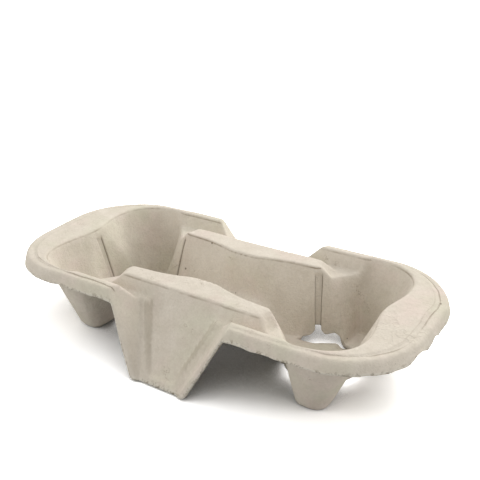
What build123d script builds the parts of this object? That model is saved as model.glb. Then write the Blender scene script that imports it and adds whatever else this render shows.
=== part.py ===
from build123d import *
from math import atan2, cos, pi, radians, sin, tan
import os

os.makedirs("parts", exist_ok=True)

# Two-cup carrier moulded from paper pulp: one thin sheet with a rim, two three-lobed cup wells,
# a hump on each long side and a splayed leg below each hump.
# X is the long way, Y across, Z up; the origin is on the ground under the middle.

# The sheet
wall = 2.0
skirt_draft = 14.0  # degrees from upright
overlap = 5.0  # how far a cutting shape runs past the face it opens

# Rim: a level ledge with a rounded outer edge and a turned-down skirt
rim_length = 202.0  # at the outer top edge
rim_width = 92.0
rim_height = 37.0
rim_corner_radius = 34.0
rim_edge_radius = 3.0
lip_height = 31.5  # lower edge of the skirt
bead_width = 3.4  # outer strip of the ledge, one small step lower
bead_step = 0.5

# Cup wells: a tapered seat that three lobes open out of
well_pitch = 103.0
floor_height = 5.0
floor_radius = 17.8
mouth_radius = 26.6

# Corner lobes, at the rim: they bulge to the end and to the long side, and stand on the feet
end_rib_reach = 78.2  # from the middle to the rib between the two end lobes
end_splay = 13.8  # degrees that each end wall turns outward from the rib
side_wall_reach = 40.4
side_wall_straight = 2.4  # between its two rounded ends
hump_corner_reach = 55.0
hump_corner_radius = 12.0
hump_rib_reach = 36.0
hump_rib_offset = 20.5

# Feet: the lower ends of the corner lobes, inside the sheet
foot_inner_reach = 50.5
foot_outer_reach = 67.5
foot_inner_offset = 13.0
foot_outer_offset = 30.5
foot_taper = 5.0  # how much the foot narrows towards the seat
foot_corner_radius = 5.0
foot_heel_radius = 4.0
foot_bevel = 2.5  # around the sole

# Middle lobes: between the humps, ending at the saddle that parts the two wells
saddle_width = 18.0
saddle_gap = 32.6  # trough across the saddle, at the rim
saddle_floor_gap = 21.0
saddle_height = 17.0
saddle_corner_radius = 6.0
saddle_shoulder = 16.0  # where the hump's inner wall turns in to the saddle
hump_height = 36.0
hump_inner_offset = 20.4
hump_inner_flare = 5.0  # degrees that the inner wall opens towards the rib
saddle_foot_reach = 25.0
saddle_foot_shoulder = 31.0
saddle_foot_offset = 8.0
middle_foot_offset = 12.5

# Legs: a splayed panel below each hump, set back in a niche between two flares
panel_top_offset = 30.8
panel_foot_offset = 54.6
niche_top_half = 24.0
niche_foot_half = 10.5
flare_splay = 25.6  # degrees that each flare turns outward from the panel
panel_recess = 2.2  # at the rim, running out to nothing at the toe
panel_border = 5.0
panel_toe = 4.0
leg_foot_half = 13.7
leg_top_half = 29.0

# Channels: between each hump and the rim, from the niche past a dish into the corner lobe
channel_height = 30.5
channel_inner_offset = 33.8
channel_outer_offset = 37.0
channel_inner_slope = 35.0  # degrees from upright
channel_outer_slope = 32.0
channel_start = 19.5
channel_end = 56.0  # it runs out into the corner lobe
dish_reach = 46.0
dish_offset = 29.0
dish_floor_radius = 5.6
dish_mouth_radius = 9.6

# Grooves up the ribs, and the three-pointed cuts at their lower ends
hump_rib_angle = 122.0  # from the long axis, seen from the seat
groove_width = 3.2
groove_depth = 1.3
groove_top = 33.0
cut_half_angle = 40.0
cut_web = 6.0
cut_height = 9.5
cut_shoulder = 0.8  # how far the cut climbs past the floor's edge beside the groove

well_x = well_pitch / 2
rib_angles = (0, hump_rib_angle, -hump_rib_angle)


def outline(level, points, radii, inset):
    """Closed shape with rounded corners at a height, grown outward by the inset."""
    with BuildSketch(Plane.XY.offset(level)) as shape:
        with BuildLine():
            FilletPolyline(*points, radius=radii, close=True)
        make_face()
        if inset:
            offset(amount=inset, kind=Kind.INTERSECTION)
    return shape.sketch


def rim_outline(level, inset):
    """Rounded rectangle of the drafted skirt at a height."""
    growth = (rim_height - level) * tan(radians(skirt_draft)) - inset / cos(radians(skirt_draft))
    with BuildSketch(Plane.XY.offset(level)) as shape:
        RectangleRounded(rim_length + 2 * growth, rim_width + 2 * growth, rim_corner_radius + growth)
    return shape.sketch


def corner_lobes(inset):
    """Four lobes that taper from the rim to the feet, with a bevel around each sole."""
    lean = tan(radians(end_splay))
    end_corner_reach = end_rib_reach + side_wall_reach * lean
    end_turn = pi / 2 + radians(end_splay)
    hump_turn = atan2(side_wall_reach - hump_rib_offset, hump_corner_reach - hump_rib_reach)
    hump_round = hump_corner_radius * tan(hump_turn / 2)
    end_round = end_corner_reach - hump_corner_reach - hump_round - side_wall_straight
    end_corner_radius = end_round / tan(end_turn / 2)
    at_rim = [
        (well_x, overlap),
        (end_rib_reach - overlap * lean, overlap),
        (end_corner_reach, -side_wall_reach),
        (hump_corner_reach, -side_wall_reach),
        (hump_rib_reach, -hump_rib_offset),
    ]
    at_foot = [
        (foot_inner_reach + foot_taper, -foot_inner_offset),
        (foot_outer_reach - foot_taper, -foot_inner_offset),
        (foot_outer_reach, -foot_outer_offset),
        (foot_inner_reach + foot_taper, -foot_outer_offset),
        (foot_inner_reach, -foot_inner_offset - foot_taper),
    ]
    rim_radii = [0, 0, end_corner_radius, hump_corner_radius, 0]
    foot_radii = [0, 0, foot_corner_radius, foot_heel_radius, 0]
    sole_level = wall - inset
    rim_shape = outline(rim_height, at_rim, rim_radii, inset)
    foot_shape = outline(sole_level + foot_bevel, at_foot, foot_radii, inset)
    sole_shape = outline(sole_level, at_foot, foot_radii, inset - foot_bevel)
    with BuildPart() as lobes:
        loft([sole_shape, foot_shape, rim_shape], ruled=True)
        extrude(lobes.faces().sort_by(Axis.Z)[-1], amount=overlap)
        mirror(about=Plane.XZ)
        mirror(about=Plane.YZ)
    return lobes.part


def middle_lobes(inset):
    """Two lobes that run from the seats to the saddle, and the trough that crosses it."""
    saddle_half = saddle_width / 2
    gap_half = saddle_gap / 2
    floor_half = saddle_floor_gap / 2
    rim_half = hump_inner_offset + (well_x - saddle_shoulder) * tan(radians(hump_inner_flare))
    at_rim = [
        (well_x, rim_half),
        (saddle_shoulder, hump_inner_offset),
        (saddle_half, gap_half),
        (saddle_half, -gap_half),
        (saddle_shoulder, -hump_inner_offset),
        (well_x, -rim_half),
    ]
    at_floor = [
        (well_x, middle_foot_offset),
        (saddle_foot_shoulder, middle_foot_offset),
        (saddle_foot_reach, saddle_foot_offset),
        (saddle_foot_reach, -saddle_foot_offset),
        (saddle_foot_shoulder, -middle_foot_offset),
        (well_x, -middle_foot_offset),
    ]
    rim_shape = outline(rim_height, at_rim, 0, inset)
    floor_shape = outline(floor_height - inset, at_floor, 0, inset)
    with BuildPart() as lobes:
        loft([floor_shape, rim_shape], ruled=True)
        extrude(lobes.faces().sort_by(Axis.Z)[-1], amount=overlap)
        mirror(about=Plane.YZ)
        with BuildSketch(Plane.YZ.offset(-well_x)):
            with BuildLine():
                FilletPolyline(
                    (-gap_half, rim_height),
                    (-floor_half, saddle_height),
                    (floor_half, saddle_height),
                    (gap_half, rim_height),
                    radius=[0, saddle_corner_radius, saddle_corner_radius, 0],
                    close=True,
                )
            make_face()
            if inset:
                offset(amount=inset, kind=Kind.INTERSECTION)
        extrude(amount=well_pitch)
    return lobes.part


def cup_seats(inset):
    """Two tapered seats that flatten the ribs between the lobes, with a groove up each rib."""
    floor_level = floor_height - inset
    top_level = groove_top + inset
    climb = (mouth_radius - floor_radius) / (rim_height - floor_height)
    low_reach = floor_radius + groove_depth + inset
    top_reach = low_reach + (top_level - floor_level) * climb
    with BuildPart() as seats:
        with Locations((well_x, 0, floor_level)):
            Cone(floor_radius + inset, mouth_radius + inset, rim_height - floor_level,
                 align=(Align.CENTER, Align.CENTER, Align.MIN))
        with Locations((well_x, 0, rim_height)):
            Cylinder(mouth_radius + inset, overlap, align=(Align.CENTER, Align.CENTER, Align.MIN))
        for angle in rib_angles:
            radial = Plane.XZ.rotated((0, 0, angle))
            with BuildSketch(Plane((well_x, 0, 0), radial.x_dir, radial.z_dir)):
                with BuildLine():
                    Polyline(
                        (0, floor_level),
                        (low_reach, floor_level),
                        (top_reach, top_level),
                        (0, top_level),
                        close=True,
                    )
                make_face()
            extrude(amount=groove_width / 2 + inset, both=True)
        mirror(about=Plane.YZ)
    return seats.part


def niche_outline(level, half, back, inset):
    """Trapezoid of a niche at a height: back wall, two flares, open to the outside."""
    far = rim_width
    mouth_half = half + (far - back) * tan(radians(flare_splay))
    points = [(-half, -back), (half, -back), (mouth_half, -far), (-mouth_half, -far)]
    return outline(level, points, 0, inset)


def niches(inset):
    """Front and rear niches, each with the main panel set back a little further."""
    fall = (panel_foot_offset - panel_top_offset) / rim_height
    pinch = (niche_top_half - niche_foot_half) / rim_height
    low = -overlap
    high = rim_height + overlap
    back_low = panel_foot_offset - low * fall
    back_high = panel_foot_offset - high * fall
    half_low = niche_foot_half + low * pinch
    half_high = niche_foot_half + high * pinch
    toe_back = panel_foot_offset - panel_toe * fall
    toe_half = niche_foot_half + panel_toe * pinch - panel_border
    low_shape = niche_outline(low, half_low, back_low, inset)
    high_shape = niche_outline(high, half_high, back_high, inset)
    toe_shape = niche_outline(panel_toe, toe_half, toe_back, inset)
    top_shape = niche_outline(high, half_high - panel_border, back_high - panel_recess, inset)
    with BuildPart() as cuts:
        loft([low_shape, high_shape], ruled=True)
        loft([toe_shape, top_shape], ruled=True)
        mirror(about=Plane.XZ)
    return cuts.part


def channels(inset):
    """Four channels between hump and rim, each widened to a dish beside the well."""
    floor_level = channel_height - inset
    rise = rim_height + overlap - floor_level
    inner = channel_inner_offset - inset
    outer = channel_outer_offset + inset
    inner_top = inner - rise * tan(radians(channel_inner_slope))
    outer_top = outer + rise * tan(radians(channel_outer_slope))
    high = floor_level + rise
    dish_rise = rim_height - floor_level
    with BuildPart() as cuts:
        with BuildSketch(Plane.YZ.offset(channel_start)):
            with BuildLine():
                Polyline((-inner, floor_level), (-outer, floor_level), (-outer_top, high),
                         (-inner_top, high), close=True)
            make_face()
        extrude(amount=channel_end - channel_start)
        with Locations((dish_reach, -dish_offset, floor_level)):
            Cone(dish_floor_radius + inset, dish_mouth_radius + inset, dish_rise,
                 align=(Align.CENTER, Align.CENTER, Align.MIN))
        mirror(about=Plane.XZ)
        mirror(about=Plane.YZ)
        with Locations((0, 0, hump_height - inset)):
            Box(2 * dish_reach, 2 * channel_inner_offset, rim_height,
                align=(Align.CENTER, Align.CENTER, Align.MIN))
    return cuts.part


def moulded_form(inset):
    """Solid under the sheet's upper face, or under its lower face when inset by the wall."""
    edge_radius = rim_edge_radius - inset
    cutters = [corner_lobes(inset), middle_lobes(inset), cup_seats(inset), niches(inset), channels(inset)]
    top = rim_height - max(inset, bead_step)
    block = [rim_outline(-overlap, inset)]
    for turn in (0, 45, 90):
        drop = edge_radius * (1 - sin(radians(turn)))
        draw_in = edge_radius * (1 - cos(radians(turn)))
        block.append(rim_outline(top - drop, inset + draw_in))
    ledge_length = rim_length - 2 * bead_width
    ledge_width = rim_width - 2 * bead_width
    with BuildPart() as form:
        loft(block, ruled=True)
        if not inset:
            with BuildSketch(Plane.XY.offset(top)):
                RectangleRounded(ledge_length, ledge_width, rim_corner_radius - bead_width)
            extrude(amount=bead_step)
        for cutter in cutters:
            add(cutter, mode=Mode.SUBTRACT)
    return form.part


def skirt_trim():
    """Band below the lip that frees the legs, leaving the wells inside it alone."""
    low = -overlap
    pinch = (leg_top_half - leg_foot_half) / lip_height
    low_half = leg_foot_half + low * pinch
    inner = wall + rim_edge_radius
    with BuildPart() as band:
        with BuildSketch(Plane.XY.offset(low)):
            Rectangle(rim_length + rim_width, rim_length)
            RectangleRounded(rim_length - 2 * inner, rim_width - inner, rim_corner_radius - inner / 2,
                             mode=Mode.SUBTRACT)
        extrude(amount=lip_height - low)
        with BuildSketch(Plane.XZ.offset(-rim_length)):
            with BuildLine():
                Polyline((-low_half, low), (low_half, low), (leg_top_half, lip_height),
                         (-leg_top_half, lip_height), close=True)
            make_face()
        extrude(amount=2 * rim_length, mode=Mode.SUBTRACT)
    return band.part


def rib_cuts():
    """A three-pointed cut where each rib meets the floor: two arms and a stem up the groove."""
    half = groove_width / 2
    shoulder = floor_radius + cut_shoulder
    stem = floor_radius + groove_depth + 2 * wall
    with BuildPart() as cuts:
        for angle in rib_angles:
            with BuildSketch(Plane((well_x, 0, -overlap), Plane.XY.rotated((0, 0, angle)).x_dir)):
                with BuildLine():
                    first = PolarLine((0, 0), floor_radius, cut_half_angle, mode=Mode.PRIVATE) @ 1
                    last = PolarLine((0, 0), floor_radius, -cut_half_angle, mode=Mode.PRIVATE) @ 1
                    Polyline(
                        first,
                        (shoulder, half),
                        (stem, half),
                        (stem, -half),
                        (shoulder, -half),
                        last,
                    )
                    ThreePointArc(last, (floor_radius - cut_web, 0), first)
                make_face()
            extrude(amount=overlap + cut_height)
        mirror(about=Plane.YZ)
    return cuts.part


upper = moulded_form(0)
lower = moulded_form(wall)
trim = skirt_trim()
openings = rib_cuts()

with BuildPart() as cup_carrier:
    add(upper)
    add(lower, mode=Mode.SUBTRACT)
    split(bisect_by=Plane.XY, keep=Keep.TOP)
    add(trim, mode=Mode.SUBTRACT)
    add(openings, mode=Mode.SUBTRACT)

cup_carrier.part.label = "cup_carrier"
export_step(cup_carrier.part, "parts/cup_carrier.step")
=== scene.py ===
import math

import bmesh
import bpy
import numpy as np
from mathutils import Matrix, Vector


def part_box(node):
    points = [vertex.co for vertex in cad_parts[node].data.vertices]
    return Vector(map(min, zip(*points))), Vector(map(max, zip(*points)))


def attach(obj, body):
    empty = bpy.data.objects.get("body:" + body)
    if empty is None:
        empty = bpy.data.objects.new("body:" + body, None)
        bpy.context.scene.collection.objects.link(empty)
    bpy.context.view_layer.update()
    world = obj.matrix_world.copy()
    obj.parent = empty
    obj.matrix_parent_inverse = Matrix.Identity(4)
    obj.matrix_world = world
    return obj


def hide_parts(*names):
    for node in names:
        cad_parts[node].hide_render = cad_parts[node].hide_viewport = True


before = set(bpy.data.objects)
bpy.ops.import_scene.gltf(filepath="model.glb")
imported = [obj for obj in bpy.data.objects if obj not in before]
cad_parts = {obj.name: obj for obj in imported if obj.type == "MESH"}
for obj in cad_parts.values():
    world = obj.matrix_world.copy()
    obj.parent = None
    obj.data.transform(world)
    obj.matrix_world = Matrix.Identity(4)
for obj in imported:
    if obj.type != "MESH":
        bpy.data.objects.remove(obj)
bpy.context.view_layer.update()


# The carrier: one thin sheet of paper pulp, sucked onto a wire mould, pressed and dried.
# The sheet falls from a level rim into two three-lobed wells, rises to a hump on each long
# side and runs down outside each hump as a splayed leg. A groove marks the rib between two lobes.

# Lengths are in millimetres and angles in degrees until the mesh is made.
metre = 1000
rim_half_length = 101.0
rim_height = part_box("cup_carrier")[1][2] * metre
skirt_lean = 14.0
skirt_slope = math.tan(math.radians(skirt_lean))
rim_half_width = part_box("cup_carrier")[1][1] * metre - rim_height * skirt_slope
rim_corner_radius = 34.0
bead_step = 0.5
bead_side_width = 2.2
bead_end_width = 4.6
bead_side_radius = 1.5
bead_end_radius = 2.4
bead_widens = (55.0, 95.0)
lip_height = 30.9
sheet_thickness = 1.9

# A corner lobe is a foot at the bottom and widens up to the rim.
sole_height = 2.0
corner_lobe_rim = [(51.5, -5.0), (77.0, -5.0), (88.4, 42.3), (55.0, 42.3), (36.0, 20.5)]
corner_lobe_foot = [(55.5, 13.0), (62.5, 13.0), (67.5, 30.5), (55.5, 30.5), (54.5, 17.0)]
end_corner_blend = 7.0
end_corner_gain = 23.7
hump_corner_blend = 2.7
hump_corner_gain = 1.0

# The middle lobe joins the seat's floor to the hump and to the saddle's trough.
well_reach = 51.5
seat_height = 5.0
seat_radius = 17.8
mouth_radius = 26.6
middle_lobe_rim = [(51.5, 23.5), (16.0, 20.4), (9.0, 16.3), (9.0, 0.0)]
middle_lobe_floor = [(51.5, 12.5), (31.0, 12.5), (25.0, 8.0), (25.0, 0.0)]
turn_floor_blend = 18.0
turn_blend_loss = 15.0
saddle_blend = 4.0
trough_height = 17.0
trough_floor_half = 10.5
trough_rim_half = 16.3
trough_blend = 8.0
hump_height = 36.0
hump_half_length = 46.0
hump_half_width = 33.8

# The leg falls outside the hump as a niche with a sunken panel between two flares.
panel_foot = 54.6
panel_fall = 22.6 / rim_height
panel_half_foot = 10.0
panel_widening = 15.0 / rim_height
flare_slope = math.tan(math.radians(25.6))
recess_toe = 4.0
recess_border = 5.7
recess_start = 1.5
recess_side = 0.65
recess_gain = 2.2 / 38.0
leg_toe_height = 1.1
leg_half_foot = 13.7
leg_half_lip = 29.0

# A channel runs just inside the rim past each hump, with a round dish at the hump's end.
channel_height = 30.5
channel_inner = 33.45
channel_inner_slope = math.tan(math.radians(35.0))
channel_outer = 37.0
channel_outer_slope = math.tan(math.radians(32.0))
channel_end = 56.0
channel_end_climb = 1.6
dish_reach = 46.0
dish_offset = 29.0
dish_radius = 4.9
dish_climb = 1.15

# Differences in height within which two forms melt into one another.
middle_blend = 16.0
seat_blend = 7.0
mouth_blend = 3.0
dish_blend = 3.0
shelf_blend = 2.5

# A sloping wall's height is searched for up to this ceiling, in so many halvings.
search_ceiling = 60.0
search_halvings = 22


def soft_max(a, b, blend):
    """The larger of two heights, with a parabola of the given width over the crossing."""
    return np.maximum(a, b) + np.maximum(blend - np.abs(a - b), 0) ** 2 / (4 * blend)


def soft_min(a, b, blend):
    """The smaller of two heights, with a parabola of the given width over the crossing."""
    return -soft_max(-a, -b, blend)


def wall_distance(x, y, start, end):
    """How far a point lies outside the straight wall from start to end, across the wall."""
    along_x = end[0] - start[0]
    along_y = end[1] - start[1]
    return ((x - start[0]) * along_y - (y - start[1]) * along_x) / np.hypot(along_x, along_y)


def corners_at(low, high, share):
    """Corners of an outline at a share of the way from its low form to its high one."""
    return [(a + (c - a) * share, b + (d - b) * share) for (a, b), (c, d) in zip(low, high)]


def lowest_inside(outside, bottom, top):
    """Lowest height at which a point is inside a section that widens upward, by halving."""
    low = bottom
    high = top
    for _ in range(search_halvings):
        middle = (low + high) / 2
        is_out = outside(middle) > 0
        low = np.where(is_out, middle, low)
        high = np.where(is_out, high, middle)
    return high


def corner_lobe_height(x, y):
    """Five straight walls that run from the foot's outline to the rim's, corners rounded."""

    def outside(z):
        """Largest distance outside the five walls of the section at height z."""
        share = (z - sole_height) / (rim_height - sole_height)
        corners = corners_at(corner_lobe_foot, corner_lobe_rim, share)
        walls = zip(corners, corners[1:] + corners[:1])
        near, end, side, hump, seat = (wall_distance(x, y, a, b) for a, b in walls)
        rounded = soft_max(end, side, end_corner_blend + end_corner_gain * share)
        rounded = soft_max(rounded, hump, hump_corner_blend + hump_corner_gain * share)
        return np.maximum(np.maximum(rounded, near), seat)

    return lowest_inside(outside, np.full_like(x, sole_height), np.full_like(x, search_ceiling))


def middle_lobe_height(x, y):
    """Three straight walls that run from the seat's floor to the hump and the saddle."""

    def outside(z):
        """Largest distance outside the three walls of the section at height z."""
        share = (z - seat_height) / (rim_height - seat_height)
        corners = corners_at(middle_lobe_floor, middle_lobe_rim, share)
        side, turn, saddle = (wall_distance(x, y, a, b) for a, b in zip(corners, corners[1:]))
        turn_blend = turn_floor_blend - turn_blend_loss * np.clip(share, 0, 1)
        return soft_max(soft_max(side, turn, turn_blend), saddle, saddle_blend)

    lobe = lowest_inside(outside, np.full_like(x, seat_height), np.full_like(x, search_ceiling))
    return np.where(x < well_reach, lobe, search_ceiling)


def rim_distance(x, y):
    """How far a point lies outside the rim's rounded rectangle, negative inside it."""
    across_x = x - rim_half_length + rim_corner_radius
    across_y = y - rim_half_width + rim_corner_radius
    outer = np.hypot(np.maximum(across_x, 0), np.maximum(across_y, 0))
    return outer + np.minimum(np.maximum(across_x, across_y), 0) - rim_corner_radius


def rim_profile(distance, end_share):
    """Level ledge, a small step down to the bead, a quarter turn round it, then the sloping skirt."""
    bead_top = rim_height - bead_step
    bead_width = bead_side_width + (bead_end_width - bead_side_width) * end_share
    bead_radius = bead_side_radius + (bead_end_radius - bead_side_radius) * end_share
    lean = math.radians(skirt_lean)
    centre = bead_step * skirt_slope - bead_radius * math.tan(math.pi / 4 - lean / 2)
    turn = np.clip((distance - centre) / bead_radius, 0, math.cos(lean))
    bead = bead_top - bead_radius * (1 - np.sqrt(1 - turn ** 2))
    skirt = rim_height - distance / skirt_slope
    ledge = np.where(distance < -bead_width, rim_height, bead_top)
    return np.where(distance < centre, ledge, np.where(turn < math.cos(lean), bead, skirt))


def recess_heights(x, y):
    """Heights of the leg's sunken panel and of the sloping wall at its side."""
    toe_back = panel_foot - recess_toe * panel_fall - recess_start
    toe_half = panel_half_foot + recess_toe * panel_widening - recess_border
    fall = panel_fall + recess_gain
    back = recess_toe + (toe_back - y) / fall
    rise = panel_widening + fall * recess_side
    return back, recess_toe + (x - toe_half - (y - toe_back) * recess_side) / rise


def trough_profile(x, y):
    """The saddle's trough: a level floor and walls that climb outward, melted at their meeting."""
    climb = (rim_height - trough_height) / (trough_rim_half - trough_floor_half)
    wall = trough_height + (y - trough_floor_half) * climb
    trough = soft_max(np.full_like(x, trough_height), wall, trough_blend)
    return np.where(x < well_reach, trough, rim_height * 2)


def niche_profile(x, y):
    """The leg: its sloping back and flares, with the sunken panel let into them."""
    back = (panel_foot - y) / panel_fall
    flare_across = x - panel_half_foot - (y - panel_foot) * flare_slope
    flare = flare_across / (panel_widening + panel_fall * flare_slope)
    recess_back, recess_wall = recess_heights(x, y)
    recess = np.maximum(np.maximum(recess_back, recess_wall), recess_toe)
    return np.minimum(np.maximum(back, flare), recess)


def channel_profile(x, y):
    """The channel inside the rim: a level floor between two slopes, climbing at its far end."""
    inner = channel_height + (channel_inner - y) / channel_inner_slope
    outer = channel_height + (y - channel_outer) / channel_outer_slope
    end = channel_height + (x - channel_end) * channel_end_climb
    return np.maximum(np.maximum(np.maximum(inner, channel_height), outer), end)


def sheet_height(x, y):
    """Height of the sheet over a quarter: the lowest of rim, lobes, seat, trough, leg and channel."""
    rim = rim_profile(rim_distance(x, y), np.interp(x, bead_widens, (0, 1)))
    seat_reach = np.hypot(x - well_reach, y)
    seat_climb = (rim_height - seat_height) / (mouth_radius - seat_radius)
    seat = seat_height + np.maximum(seat_reach - seat_radius, 0) * seat_climb
    dish_away = np.maximum(np.hypot(x - dish_reach, y - dish_offset) - dish_radius, 0)
    dish = channel_height + dish_away * dish_climb
    on_hump = (x < hump_half_length) & (y < hump_half_width)
    hump = np.where(on_hump, hump_height, rim_height * 2)
    middle = soft_min(middle_lobe_height(x, y), trough_profile(x, y), middle_blend)
    well = np.maximum(soft_min(corner_lobe_height(x, y), seat, seat_blend), sole_height)
    shelf = np.maximum(soft_min(channel_profile(x, y), dish, dish_blend), channel_height)
    ledge = soft_min(rim, well, mouth_blend)
    shelf = soft_min(well, shelf, shelf_blend)
    hump = soft_min(hump, dish, shelf_blend)
    return np.minimum.reduce((ledge, shelf, middle, niche_profile(x, y), hump))


def rounding_weights(stations, spread):
    """Bell-shaped weights between stations, with their mirror images across the middle plane."""
    there = np.exp(-((stations[:, None] - stations[None, :]) / spread) ** 2 / 2)
    mirrored = np.exp(-((stations[:, None] + stations[None, :]) / spread) ** 2 / 2)
    weights = there + mirrored
    return weights / weights.sum(axis=1, keepdims=True)


# The pressed sheet has no sharp edge: each height is averaged with its neighbours.
grid_step = 0.3
grid_length = 112
grid_depth = 66
edge_spread = 0.36
grid_x = np.arange(0, grid_length, grid_step) + grid_step / 2
grid_y = np.arange(0, grid_depth, grid_step) + grid_step / 2
plan_x, plan_y = np.meshgrid(grid_x, grid_y, indexing="ij")
pressed = sheet_height(plan_x, plan_y)
pressed = rounding_weights(grid_x, edge_spread) @ pressed @ rounding_weights(grid_y, edge_spread).T


def pressed_height(x, y):
    """Height of the pressed sheet between grid points, as a weighted mean of the nearest four."""
    across = np.clip(np.abs(x) / grid_step - 0.5, 0, len(grid_x) - 1.001)
    deep = np.clip(np.abs(y) / grid_step - 0.5, 0, len(grid_y) - 1.001)
    i = across.astype(int)
    j = deep.astype(int)
    u = across - i
    v = deep - j
    near = pressed[i, j] * (1 - u) + pressed[i + 1, j] * u
    far = pressed[i, j + 1] * (1 - u) + pressed[i + 1, j + 1] * u
    return near * (1 - v) + far * v


# Lines from the middle of a well sweep a quarter of the sheet. Over the hump they bend to run
# straight down the leg, so that they follow its edges.
groove_edge = 4.4
groove_floor = 3.7
groove_shoulder = 0.5
lobe_angle = 60
hump_angle = 112
hump_rib_angle = 122.0
bend_offset = 24.0
straight_until = 92.0
bent_from = 117.0
middle_angle = 180 - math.degrees(math.atan2(bend_offset, well_reach))
leg_spacing = 0.9
saddle_lines = 21
least_turn = 0.05


def turn_to(reach):
    """Direction in which a line from the well meets the bend at that distance from the middle."""
    return 180 - np.degrees(np.arctan2(bend_offset, well_reach - reach))


rib_reach = well_reach - bend_offset / math.tan(math.radians(180 - hump_rib_angle - groove_edge))
leg_reach = np.linspace(rib_reach, 0, int(rib_reach / leg_spacing) + 1)
rib_low = hump_rib_angle - groove_floor
rib_high = hump_rib_angle + groove_floor
sweeps = [
    (0, groove_floor - groove_shoulder, 2),
    (groove_floor - groove_shoulder, groove_floor, 1),
    (groove_floor, groove_edge, 1),
    (groove_edge, lobe_angle, 40),
    (lobe_angle, hump_angle, 34),
    (hump_angle, hump_rib_angle - groove_edge, 5),
    (hump_rib_angle - groove_edge, rib_low, 1),
    (rib_low, rib_low + groove_shoulder, 1),
    (rib_low + groove_shoulder, rib_high - groove_shoulder, 4),
    (rib_high - groove_shoulder, rib_high, 1),
    (rib_high, hump_rib_angle + groove_edge, 1),
]
well_turns = np.concatenate([np.linspace(a, b, n, endpoint=False) for a, b, n in sweeps])
saddle_turns = np.linspace(middle_angle, 180, saddle_lines)[1:]
turns = np.concatenate([well_turns, turn_to(leg_reach), saddle_turns])
leg_lines = len(well_turns) + len(leg_reach)
bend_share = np.clip((turns - straight_until) / (bent_from - straight_until), 0, 1)
bend_share = bend_share ** 2 * (3 - 2 * bend_share)


def line_point(reach):
    """Place at a distance along each line: straight out to the bend, then turned down the leg."""
    turn = np.radians(turns)[:len(reach), None]
    x = well_reach + reach * np.cos(turn)
    y = reach * np.sin(turn)
    x_bend = well_reach + bend_offset / np.tan(np.maximum(turn, least_turn))
    past = (y > bend_offset) * bend_share[:len(reach), None]
    return np.maximum(x + (x_bend - x) * past, 0), y


# A line ends at the rim's lower lip, at the leg's free edge or where it meets the other half.
search_length = 142
search_step = 0.1
travel = np.arange(0, search_length, search_step)
line_x, line_y = line_point(np.broadcast_to(travel, (leg_lines, len(travel))))
profile = pressed_height(line_x, line_y)
leg_climb = (line_x - leg_half_foot) * lip_height / (leg_half_lip - leg_half_foot)
spare = profile - np.clip(leg_climb, leg_toe_height, lip_height)
crest = np.argmax(profile, axis=1)
after = np.arange(len(travel))[None, :] > crest[:, None]
ended = np.argmax(after & (spare < 0), axis=1)
line = np.arange(leg_lines)
share = spare[line, ended - 1] / (spare[line, ended - 1] - spare[line, ended])
line_end = travel[ended - 1] + search_step * share

# Three-pointed cuts part the seat's floor from the foot of each rib.
end_cut_angle = 42.0
foot_cut_angle = 56.0
saddle_cut_angle = 36.0
cut_web = 7.0
cut_inset = 0.3
cut_shoulder = 0.9
cut_shoulder_angle = 9
cut_rise = 0.7
cut_rise_start = 66
cut_rise_in = 6
cut_rise_out = 14
cut_height = 9.5
from_end = turns / end_cut_angle
from_hump = (turns - hump_rib_angle) / np.where(turns < hump_rib_angle, foot_cut_angle, saddle_cut_angle)
opening = np.clip(1 - np.minimum(np.abs(from_end), np.abs(from_hump)) ** 3, 0, 1)
from_rib = np.minimum(turns, np.abs(turns - hump_rib_angle))
cut_edge = seat_radius - cut_inset
cut_inner = cut_edge - cut_web * opening
shoulder_share = np.clip(1 - (from_rib - groove_edge) / cut_shoulder_angle, 0, 1) ** 1.5
rise_in = np.clip((turns - cut_rise_start) / cut_rise_in, 0, 1)
rise_out = np.clip((hump_angle - turns) / cut_rise_out, 0, 1)
cut_outer = cut_edge + cut_shoulder * shoulder_share
cut_outer += cut_rise * rise_in * rise_out

# Points lie close together where the sheet bends.
station_samples = 700
station_bend_limit = 0.6
station_bend_pull = 6
station_passes = 6


def even_stations(start, end, rows):
    """Distances along each line from start to end, in even steps that shorten where the sheet bends."""
    reach = start[:, None] + (end - start)[:, None] * np.linspace(0, 1, station_samples)
    x, y = line_point(reach)
    z = pressed_height(x, y)
    step = np.sqrt(np.diff(x) ** 2 + np.diff(y) ** 2 + np.diff(z) ** 2)
    slope = np.arctan2(np.diff(z), np.hypot(np.diff(x), np.diff(y)))
    bend = np.minimum(np.abs(np.gradient(slope, axis=1)) / np.maximum(step, 1e-6), station_bend_limit)
    weighted = np.cumsum(step * (1 + station_bend_pull * bend), axis=1)
    gone = np.concatenate([np.zeros((len(reach), 1)), weighted], axis=1)
    wanted = np.linspace(0, 1, rows)
    stations = np.array([np.interp(wanted * g[-1], g, r) for g, r in zip(gone, reach)])
    share = (stations - start[:, None]) / (end - start)[:, None]
    for _ in range(station_passes):
        share[1:-1] = (share[:-2] + 2 * share[1:-1] + share[2:]) / 4
    return start[:, None] + (end - start)[:, None] * share


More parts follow.
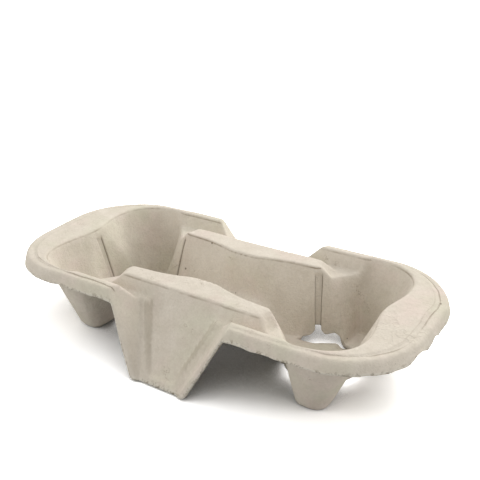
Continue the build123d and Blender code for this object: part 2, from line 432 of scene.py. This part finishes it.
# On each line the inner rows stop near the well's mouth, at the bend over the hump or at the saddle's
# middle. The stops are smoothed from line to line, except the last ones of the leg.
floor_rows = 6
wall_rows = 38
outer_rows = 42
unsmoothed_lines = 44
smooth_passes = 12
knot_turns = [0, 30, 60, 85, 100, hump_angle]
knot_reach = [27, 36, 42, 38, 31, bend_offset / math.sin(math.radians(hump_angle))]
bend_reach = bend_offset / np.sin(np.radians(np.minimum(turns, 179)))
saddle_reach = well_reach / np.maximum(-np.cos(np.radians(turns)), 0.01)
wall_end = np.where(turns < hump_angle, np.interp(turns, knot_turns, knot_reach), bend_reach)
wall_end = np.where(turns > middle_angle, saddle_reach, wall_end)
smoothed = wall_end[:leg_lines - unsmoothed_lines]
for _ in range(smooth_passes):
    smoothed[1:-1] = (smoothed[:-2] + 2 * smoothed[1:-1] + smoothed[2:]) / 4

# The lines become rows of points: floor, wall and, where the line goes on, the outside.
floor_reach = np.linspace(0, 1, floor_rows)[None, :] * cut_inner[:, None]
wall_reach = even_stations(cut_outer, wall_end, wall_rows)
outer_reach = even_stations(wall_end[:leg_lines], line_end, outer_rows)[:, 1:]
inner_rows = floor_rows + wall_rows
row_count = inner_rows + outer_rows - 1
middle_snap = 1e-3
quarter_x = np.full((len(turns), row_count), np.nan)
quarter_y = np.full((len(turns), row_count), np.nan)
inner_x, inner_y = line_point(np.concatenate([floor_reach, wall_reach], axis=1))
outer_x, outer_y = line_point(outer_reach)
quarter_x[:, :inner_rows] = inner_x
quarter_y[:, :inner_rows] = inner_y
quarter_x[:leg_lines, inner_rows:] = outer_x
quarter_y[:leg_lines, inner_rows:] = outer_y
quarter_x = np.where(quarter_x < middle_snap, 0, quarter_x)
quarter_y = np.where(quarter_y < middle_snap, 0, quarter_y)
quarter_z = pressed_height(np.nan_to_num(quarter_x), np.nan_to_num(quarter_y))

# Each rib has a groove pressed into its face, open at the foot where the cut's stem climbs it.
groove_depth = 0.8
groove_top = 33.0
groove_foot = 5.5
groove_fade = 2
groove_clear_rows = 4
line_tolerance = 0.1
row_number = np.arange(row_count)[None, :]
in_groove = (from_rib < (groove_floor + groove_edge) / 2)[:, None]
fade_in = np.clip((quarter_z - groove_foot) / groove_fade, 0, 1)
fade_out = np.clip((groove_top - quarter_z) / groove_fade, 0, 1)
window = fade_in * fade_out
on_wall = (row_number >= floor_rows) & (row_number < inner_rows - groove_clear_rows)
push = groove_depth * window * in_groove * on_wall
quarter_x += push * np.cos(np.radians(turns))[:, None]
quarter_y += push * np.sin(np.radians(turns))[:, None]
# Beside the groove's floor the mesh carries painted shade for the groove's side walls.
beside_groove = np.abs(from_rib - groove_floor) < line_tolerance
groove_side_shade = window * beside_groove[:, None] * on_wall

# A band of painted shade runs just below the top edges of the humps and of the ledge, and painted
# shade runs down the side wall of the leg's sunken panel.
steep_from = 0.6
hump_shade_length = 42
hump_shade_width = 31
edge_shade_inset = 4.5
recess_margin = 1.2
recess_top = 29.5
recess_fade_from = 4
recess_fade_over = 8
place_x = np.nan_to_num(quarter_x)
place_y = np.nan_to_num(quarter_y)
fall_x, fall_y = np.gradient(pressed, grid_step)
steep = np.clip(np.hypot(fall_x, fall_y) - steep_from, 0, 1)
cell_x = np.clip(place_x / grid_step, 0, len(grid_x) - 1).astype(int)
cell_y = np.clip(place_y / grid_step, 0, len(grid_y) - 1).astype(int)
on_hump = (place_x < hump_shade_length) & (place_y < hump_shade_width)
below_top = np.where(on_hump, hump_height, rim_height) - quarter_z
wall_side = steep[cell_x, cell_y] * (rim_distance(place_x, place_y) < -edge_shade_inset)
recess_back, recess_wall = recess_heights(place_x, place_y)
is_recess_wall = (recess_wall > recess_back) & (np.abs(recess_wall - quarter_z) < recess_margin)
on_recess_wall = is_recess_wall & (quarter_z < recess_top)
recess_shade = on_recess_wall * np.clip((quarter_z - recess_fade_from) / recess_fade_over, 0, 1)

# Quads between neighbouring lines, left out in the cuts and past the middle plane.
corner = np.arange(quarter_x.size).reshape(quarter_x.shape)
quads = np.stack([corner[:-1, :-1], corner[:-1, 1:], corner[1:, 1:], corner[1:, :-1]], axis=-1)
row = np.arange(row_count - 1)[None, :]
beside_rib = ((from_rib[:-1] + from_rib[1:]) / 2 < groove_edge)[:, None]
is_wall = (row >= floor_rows) & (row < inner_rows)
is_stem = beside_rib & is_wall & (quarter_z[:-1, 1:] < cut_height)
is_cut = (row == floor_rows - 1) & (opening[:-1, None] + opening[1:, None] > 0)
is_past = np.isnan(quarter_x[:-1, 1:]) | np.isnan(quarter_x[1:, 1:])
kept = quads[~(is_stem | is_cut | is_past)]
quarter_x = np.nan_to_num(quarter_x)
quarter_y = np.nan_to_num(quarter_y)
groove_side_shade = np.nan_to_num(groove_side_shade)
torn_rows = 5
free_edge = np.zeros_like(quarter_x)
free_edge[:leg_lines] = np.clip((row_number - row_count + torn_rows + 1) / torn_rows, 0, 1)

# The quarter is mirrored to the other three.
sides = [(1, -1), (-1, -1), (1, 1), (-1, 1)]
all_points = []
all_quads = []
for number, (side_x, side_y) in enumerate(sides):
    points = np.stack([quarter_x * side_x, quarter_y * side_y, quarter_z], axis=-1).reshape(-1, 3)
    faces = kept if side_x * side_y > 0 else kept[:, ::-1]
    all_points.append(points)
    all_quads.append(faces + number * len(points))
points = np.concatenate(all_points)
quads = np.concatenate(all_quads)

# The lip is torn, most of all at two notches in the right end. The sheet warped as it dried, so that
# its right end stands higher, its left end lower and both ends a little to the left. A notch is given
# by its place, its size and its depth.
wave_count = 6
fine_tear = 0.4
fine_tear_size = 5
wide_tear = 0.5
wide_tear_size = 14
tear_floor = 2
notch_reach = 1.4
notches = [(101, -18, 5, 2.6), (102, -3, 3, 1.6)]
warp_from = 45
warp_over = 45
warp_foot = 6
warp_climb = 20
warp_right = 0.7
warp_left = -1.5
warp_shift = 1.2
swell = 0.5
swell_size = 60
swell_climb = 20
sway = 0.25
sway_size = 25
sway_climb = 10


def uneven(points, size, seed):
    """Slow wander between -1 and 1: the mean of six waves of unlike length and direction."""
    rng = np.random.default_rng(seed)
    total = np.zeros(len(points))
    for _ in range(wave_count):
        direction = rng.normal(size=3)
        direction /= np.linalg.norm(direction)
        length = size * rng.uniform(0.7, 1.5)
        total += np.sin(points @ direction * 2 * np.pi / length + rng.uniform(0, 6.28))
    return total / wave_count


torn_edge = np.tile(free_edge.reshape(-1), len(sides))
ragged = fine_tear * uneven(points, fine_tear_size, 21) + wide_tear * uneven(points, wide_tear_size, 34)
for notch_x, notch_y, notch_size, notch_depth in notches:
    notch_away = np.hypot(points[:, 0] - notch_x, points[:, 1] - notch_y) / notch_size
    ragged += notch_depth * np.clip(notch_reach - notch_away, 0, 1)
points[:, 2] += ragged * torn_edge * (points[:, 2] > tear_floor)
end_share = np.clip((np.abs(points[:, 0]) - warp_from) / warp_over, 0, 1)
end_share *= np.clip((points[:, 2] - warp_foot) / warp_climb, 0, 1)
points[:, 2] += np.where(points[:, 0] > 0, warp_right, warp_left) * end_share
points[:, 0] -= warp_shift * end_share
points[:, 2] += swell * uneven(points, swell_size, 3) * np.clip(points[:, 2] / swell_climb, 0, 1)
points[:, 0] += sway * uneven(points, sway_size, 5) * np.clip(points[:, 2] / sway_climb, 0, 1)
points[:, 1] += sway * uneven(points, sway_size, 8) * np.clip(points[:, 2] / sway_climb, 0, 1)

# The mesh carries a value for each mark of the finish and of the painted shade. Points that no quad uses
# are left out.
used, place_in_used = np.unique(quads, return_inverse=True)
quads = place_in_used.reshape(quads.shape)
merge_distance = 2e-6
sheet_mesh = bpy.data.meshes.new("moulded_sheet")
sheet_mesh.from_pydata((points[used] / metre).tolist(), [], quads.tolist())
marks = {
    "groove_shade": groove_side_shade,
    "torn_edge": free_edge,
    "below_top": below_top,
    "wall_side": wall_side,
    "recess_shade": recess_shade,
}
for name, values in marks.items():
    layer = sheet_mesh.attributes.new(name, "FLOAT", "POINT")
    layer.data.foreach_set("value", np.tile(values.reshape(-1), len(sides))[used].astype(np.float32))

# Points that meet along the middle planes are merged, and the faces are made to point up.
work = bmesh.new()
work.from_mesh(sheet_mesh)
bmesh.ops.remove_doubles(work, verts=work.verts, dist=merge_distance)
bmesh.ops.recalc_face_normals(work, faces=work.faces)
work.to_mesh(sheet_mesh)
work.free()
face_count = len(sheet_mesh.polygons)
face_area = np.empty(face_count, dtype=np.float32)
face_normal = np.empty(face_count * 3, dtype=np.float32)
sheet_mesh.polygons.foreach_get("area", face_area)
sheet_mesh.polygons.foreach_get("normal", face_normal)
if (face_normal.reshape(-1, 3)[:, 2] * face_area).sum() < 0:
    sheet_mesh.flip_normals()
sheet_mesh.polygons.foreach_set("use_smooth", np.ones(face_count, dtype=bool))
moulded_sheet = bpy.data.objects.new("moulded_sheet", sheet_mesh)
bpy.context.collection.objects.link(moulded_sheet)
thicken = moulded_sheet.modifiers.new("pulp_thickness", "SOLIDIFY")
thicken.thickness = sheet_thickness / metre
thicken.offset = -1
thicken.use_even_offset = False
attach(moulded_sheet, "root")
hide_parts("cup_carrier")

# The finish: mottled grey pulp with darker fibres, specks, painted shade below top edges, in grooves and
# on the panel's side wall, and a fuzzy torn edge.
pulp_grey = (0.626, 0.568, 0.484)
pulp_green = (0.598, 0.560, 0.454)
pulp_pink = (0.648, 0.555, 0.486)
speck_and_shade_dark = (0.10, 0.075, 0.05)
fibre_brown = (0.42, 0.37, 0.29)
grain_brown = (0.40, 0.35, 0.28)
edge_shade_brown = (0.27, 0.22, 0.16)
recess_shade_brown = (0.32, 0.28, 0.21)
torn_pale = (0.72, 0.69, 0.60)
torn_brown = (0.24, 0.20, 0.14)
scratch_brown = (0.30, 0.24, 0.18)
line_brown = (0.30, 0.24, 0.17)
pulp = bpy.data.materials.new("pulp")
pulp.use_nodes = True
pulp_nodes = pulp.node_tree.nodes
pulp_links = pulp.node_tree.links
pulp_shader = pulp_nodes["Principled BSDF"]
pulp_shader.inputs["Roughness"].default_value = 0.95
pulp_shader.inputs["Specular IOR Level"].default_value = 0.15
sheet_mesh.materials.append(pulp)
place = pulp_nodes.new("ShaderNodeTexCoord").outputs["Object"]


def cloud(scale, detail, roughness=0.55):
    """Cloudy pattern from 0 to 1 with that many lumps to the metre."""
    node = pulp_nodes.new("ShaderNodeTexNoise")
    node.inputs["Scale"].default_value = scale
    node.inputs["Detail"].default_value = detail
    node.inputs["Roughness"].default_value = roughness
    pulp_links.new(place, node.inputs["Vector"])
    return node.outputs["Fac"]


def spread(value, low, high, out_low=0.0, out_high=1.0):
    """Stretches the span from low to high to the span from out_low to out_high, held at its ends."""
    node = pulp_nodes.new("ShaderNodeMapRange")
    pulp_links.new(value, node.inputs["Value"])
    ends = {"From Min": low, "From Max": high, "To Min": out_low, "To Max": out_high}
    for name, number in ends.items():
        node.inputs[name].default_value = number
    return node.outputs["Result"]


def tint(amount, under, over):
    """Lays one colour over another by an amount that changes over the sheet."""
    node = pulp_nodes.new("ShaderNodeMix")
    node.data_type = "RGBA"
    pulp_links.new(amount, node.inputs["Factor"])
    for socket, colour in ((node.inputs["A"], under), (node.inputs["B"], over)):
        if isinstance(colour, tuple):
            socket.default_value = (*colour, 1)
        else:
            pulp_links.new(colour, socket)
    return node.outputs["Result"]


def figure(way, first, second=0.0):
    """One step of arithmetic on two values."""
    node = pulp_nodes.new("ShaderNodeMath")
    node.operation = way
    for socket, value in zip(node.inputs, (first, second)):
        if isinstance(value, (int, float)):
            socket.default_value = value
        else:
            pulp_links.new(value, socket)
    return node.outputs["Value"]


def times(first, second):
    """The product of two values."""
    return figure("MULTIPLY", first, second)


def away_from(value, middle):
    """How far a value lies from a middle one, without its sign."""
    return figure("ABSOLUTE", figure("SUBTRACT", value, middle))


def mark(name):
    """A value that the mesh carries at each of its points."""
    node = pulp_nodes.new("ShaderNodeAttribute")
    node.attribute_name = name
    return node.outputs["Fac"]


colour = tint(spread(cloud(38, 3), 0.45, 0.65), pulp_grey, pulp_pink)
colour = tint(spread(cloud(33, 3, 0.6), 0.46, 0.66), colour, pulp_green)
colour = tint(spread(cloud(160, 6, 0.7), 0.35, 0.70, 0.0, 0.34), colour, fibre_brown)
colour = tint(spread(cloud(900, 3, 0.7), 0.40, 0.72, 0.0, 0.24), colour, grain_brown)

# Dark specks of unlike size are scattered through the pulp.
specks = pulp_nodes.new("ShaderNodeTexVoronoi")
specks.inputs["Scale"].default_value = 145
pulp_links.new(place, specks.inputs["Vector"])
speck_kind = pulp_nodes.new("ShaderNodeSeparateColor")
pulp_links.new(specks.outputs["Color"], speck_kind.inputs["Color"])
speck_size = spread(speck_kind.outputs["Red"], 0.55, 1.0, 0.0, 0.1)
speck = spread(figure("SUBTRACT", speck_size, specks.outputs["Distance"]), 0.0, 0.02)
colour = tint(times(speck, 0.75), colour, speck_and_shade_dark)
# Painted shade darkens the side walls of each rib's groove.
colour = tint(times(mark("groove_shade"), 0.8), colour, speck_and_shade_dark)

# Painted shade just below the top edges and on the panel's side wall, then the torn lip and a few
# scratches.
edge_shade_depth = 0.8
edge_shade_patchy = spread(cloud(90, 3), 0.35, 0.60, 0.15, 0.95)
edge_shade_near = spread(away_from(mark("below_top"), edge_shade_depth), 0.1, 0.5, 1.0, 0.0)
# Painted shade in a patchy band just below the top edges of the steep walls.
edge_shade = times(times(edge_shade_near, mark("wall_side")), edge_shade_patchy)
colour = tint(edge_shade, colour, edge_shade_brown)
# Painted shade darkens the side wall of the leg's sunken panel, patchily.
painted_recess_shade = times(mark("recess_shade"), spread(cloud(50, 2), 0.3, 0.6, 0.25, 0.5))
colour = tint(painted_recess_shade, colour, recess_shade_brown)
colour = tint(spread(mark("torn_edge"), 0.7, 1.0, 0.0, 0.6), colour, torn_pale)
torn_tufts = spread(cloud(600, 4, 0.7), 0.50, 0.62, 0.0, 0.8)
torn_fibre = times(spread(mark("torn_edge"), 0.55, 0.9), torn_tufts)
colour = tint(torn_fibre, colour, torn_brown)
scratch = spread(away_from(cloud(55, 5, 0.6), 0.5), 0.0, 0.008, 1.0, 0.0)
scratch = times(scratch, spread(cloud(60, 2), 0.56, 0.64, 0.0, 0.6))
colour = tint(scratch, colour, scratch_brown)

# The right end of the ledge is crumpled, with short folds that catch the light.
crumple_middle = (0.090, -0.012, 0.038)
crumple_inner = 0.006
crumple_outer = 0.020
crumple_away = pulp_nodes.new("ShaderNodeVectorMath")
crumple_away.operation = "DISTANCE"
pulp_links.new(place, crumple_away.inputs[0])
crumple_away.inputs[1].default_value = crumple_middle
crumple_near = spread(crumple_away.outputs["Value"], crumple_inner, crumple_outer, 1.0, 0.0)
crumple_fold = spread(away_from(cloud(120, 2), 0.5), 0.0, 0.05, 1.0, 0.0)
crumple = times(crumple_fold, crumple_near)

# A fine dark line runs round the ledge a little inside its edge, along the small step down to the bead.
# It fades out at the front right, and a second line runs inside it at the right end. Places are in
# metres.
line_core = 0.0001
line_edge = 0.0004
line_wander = 0.0005
line_bottom = 0.0345
line_top = 0.0355
fade_left = (0.0, 0.02)
fade_right = (0.065, 0.08)
fade_front = (-0.040, -0.030)
second_inset = (0.0018, 0.0032)
second_starts = (0.088, 0.097)
apart = pulp_nodes.new("ShaderNodeSeparateXYZ")
pulp_links.new(place, apart.inputs["Vector"])
along = apart.outputs["X"]
across = apart.outputs["Y"]
straight_half_length = (rim_half_length - rim_corner_radius) / metre
straight_half_width = (rim_half_width - rim_corner_radius) / metre
from_corner_x = figure("SUBTRACT", figure("ABSOLUTE", along), straight_half_length)
from_corner_y = figure("SUBTRACT", figure("ABSOLUTE", across), straight_half_width)
past_corner_x = figure("POWER", figure("MAXIMUM", from_corner_x, 0), 2)
past_corner_y = figure("POWER", figure("MAXIMUM", from_corner_y, 0), 2)
corner_reach = figure("SQRT", figure("ADD", past_corner_x, past_corner_y))
side_reach = figure("MINIMUM", figure("MAXIMUM", from_corner_x, from_corner_y), 0)
bead_at_side = (bead_side_width - rim_corner_radius) / metre
bead_at_end = (bead_end_width - rim_corner_radius) / metre
widens_from = bead_widens[0] / metre
widens_to = bead_widens[1] / metre
bead_place = spread(figure("ABSOLUTE", along), widens_from, widens_to, bead_at_side, bead_at_end)
bead_inside = figure("ADD", figure("ADD", corner_reach, side_reach), bead_place)
bead_wander = spread(cloud(60, 2), 0.3, 0.7, -line_wander, line_wander)
bead_away = figure("ABSOLUTE", figure("ADD", bead_inside, bead_wander))
bead_on_top = spread(apart.outputs["Z"], line_bottom, line_top)
bead_strength = times(bead_on_top, spread(cloud(40, 3), 0.42, 0.56, 0.2, 1.0))
bead_faded = times(spread(along, *fade_left), spread(along, *fade_right, 1.0, 0.0))
bead_faded = times(bead_faded, spread(across, *fade_front, 0.85, 0.0))
bead_strength = times(bead_strength, figure("SUBTRACT", 1.0, bead_faded))
bead_line = times(spread(bead_away, line_core, line_edge, 1.0, 0.0), bead_strength)
second_wander = spread(cloud(60, 2), 0.3, 0.7, *second_inset)
second_away = figure("ABSOLUTE", figure("ADD", bead_inside, second_wander))
second_strength = times(bead_on_top, spread(along, *second_starts, 0.0, 0.45))
second_line = times(spread(second_away, line_core, line_edge, 1.0, 0.0), second_strength)
bead_line = figure("MAXIMUM", bead_line, second_line)
colour = tint(times(bead_line, 0.62), colour, line_brown)
pulp_links.new(colour, pulp_shader.inputs["Base Color"])

# The pulp's surface is grainy and lumpy. The line is a shallow groove and the crumples stand up.
grain = times(cloud(1100, 4, 0.65), 0.5)
lumps = times(cloud(170, 4, 0.6), 1.3)
height = figure("SUBTRACT", figure("ADD", grain, lumps), times(bead_line, 0.7))
height = figure("ADD", height, times(crumple, 0.5))
relief = pulp_nodes.new("ShaderNodeBump")
relief.inputs["Strength"].default_value = 0.6
relief.inputs["Distance"].default_value = 0.0008
pulp_links.new(height, relief.inputs["Height"])
pulp_links.new(relief.outputs["Normal"], pulp_shader.inputs["Normal"])


# Floor and light: a wide sheet of white paper under an even, soft sky, with four soft lamps.
# Seen directly it is lifted to white in the open and keeps the carrier's real shade, with painted
# shadow added where the carrier hems it in. Scattered light finds a darker floor, so that little bounces
# up.
floor_half = 4.0
floor_bounce = 0.6
shade_distance = 0.08
shade_samples = 8
shade_lift = {"From Min": 0.1, "From Max": 0.45, "To Min": 0.38, "To Max": 1.8}
sky_strength = 0.73
sky_seen = 1.0


def seen_directly(owner):
    """One for rays from the camera, from a mirror or through glass, and nought for scattered light."""
    nodes = owner.node_tree.nodes
    links = owner.node_tree.links
    ray = nodes.new("ShaderNodeLightPath")
    total = ray.outputs["Is Camera Ray"]
    for kind in ("Is Glossy Ray", "Is Transmission Ray"):
        larger = nodes.new("ShaderNodeMath")
        larger.operation = "MAXIMUM"
        links.new(total, larger.inputs[0])
        links.new(ray.outputs[kind], larger.inputs[1])
        total = larger.outputs["Value"]
    return total


floor_mesh = bpy.data.meshes.new("floor")
floor_corners = [(-1, -1), (1, -1), (1, 1), (-1, 1)]
floor_points = [(x * floor_half, y * floor_half, 0) for x, y in floor_corners]
floor_mesh.from_pydata(floor_points, [], [(0, 1, 2, 3)])
floor = bpy.data.objects.new("floor", floor_mesh)
bpy.context.collection.objects.link(floor)
floor_paper = bpy.data.materials.new("floor_paper")
floor_paper.use_nodes = True
floor_nodes = floor_paper.node_tree.nodes
floor_links = floor_paper.node_tree.links
floor_nodes.remove(floor_nodes["Principled BSDF"])
# How open the floor is around each point sets its colour seen directly: a painted shadow under and near
# the carrier.
floor_open = floor_nodes.new("ShaderNodeAmbientOcclusion")
floor_open.samples = shade_samples
floor_open.inputs["Distance"].default_value = shade_distance
floor_lift = floor_nodes.new("ShaderNodeMapRange")
floor_links.new(floor_open.outputs["AO"], floor_lift.inputs["Value"])
for name, number in shade_lift.items():
    floor_lift.inputs[name].default_value = number
floor_white_and_shade = floor_nodes.new("ShaderNodeMix")
floor_white_and_shade.data_type = "RGBA"
floor_white_and_shade.inputs["A"].default_value = (floor_bounce, floor_bounce, floor_bounce, 1)
floor_links.new(floor_lift.outputs["Result"], floor_white_and_shade.inputs["B"])
floor_links.new(seen_directly(floor_paper), floor_white_and_shade.inputs["Factor"])
floor_matt = floor_nodes.new("ShaderNodeBsdfDiffuse")
floor_links.new(floor_white_and_shade.outputs["Result"], floor_matt.inputs["Color"])
floor_links.new(floor_matt.outputs["BSDF"], floor_nodes["Material Output"].inputs["Surface"])
floor_mesh.materials.append(floor_paper)

world = bpy.data.worlds.new("studio")
bpy.context.scene.world = world
world.use_nodes = True
world_nodes = world.node_tree.nodes
world_links = world.node_tree.links
sky = world_nodes["Background"]
sky.inputs["Color"].default_value = (1, 1, 1, 1)
sky.inputs["Strength"].default_value = sky_strength
seen = world_nodes.new("ShaderNodeBackground")
seen.inputs["Color"].default_value = (1, 1, 1, 1)
seen.inputs["Strength"].default_value = sky_seen
either = world_nodes.new("ShaderNodeMixShader")
world_links.new(seen_directly(world), either.inputs["Fac"])
world_links.new(sky.outputs["Background"], either.inputs[1])
world_links.new(seen.outputs["Background"], either.inputs[2])
world_links.new(either.outputs["Shader"], world_nodes["World Output"].inputs["Surface"])


def soft_lamp(name, place, target, size, energy):
    """A square lamp of that size at a place, turned to face its target."""
    data = bpy.data.lights.new(name, "AREA")
    data.size = size
    data.energy = energy
    lamp = bpy.data.objects.new(name, data)
    lamp.location = place
    lamp.rotation_euler = (Vector(target) - Vector(place)).to_track_quat("-Z", "Y").to_euler()
    bpy.context.collection.objects.link(lamp)


soft_lamp("overhead", place=(0.15, 0.4, 1.35), target=(0, 0, 0), size=0.9, energy=4.5)
soft_lamp("front", place=(-0.75, -0.6, 0.3), target=(0, 0, 0.02), size=0.4, energy=2.4)
soft_lamp("right", place=(1.2, 0.4, 0.45), target=(0, 0, 0.03), size=0.6, energy=4.4)
soft_lamp("rear", place=(-0.1, 0.7, 0.45), target=(0.045, 0.03, 0), size=0.3, energy=3.9)


# Camera: a little above the long side, turned towards the right end.
# Its place was worked out from the carrier's own symmetry, in metres and degrees.
camera_place = (0.164016, -0.249248, 0.188919)
camera_fall = 25.04
camera_turn = 32.02
camera_data = bpy.data.cameras.new("camera")
camera_data.lens = 54.0
camera_data.sensor_width = 36.0
camera = bpy.data.objects.new("camera", camera_data)
camera.location = camera_place
camera.rotation_euler = (math.radians(90 - camera_fall), 0, math.radians(camera_turn))
bpy.context.collection.objects.link(camera)
bpy.context.scene.camera = camera
bpy.context.scene.view_settings.view_transform = "Standard"
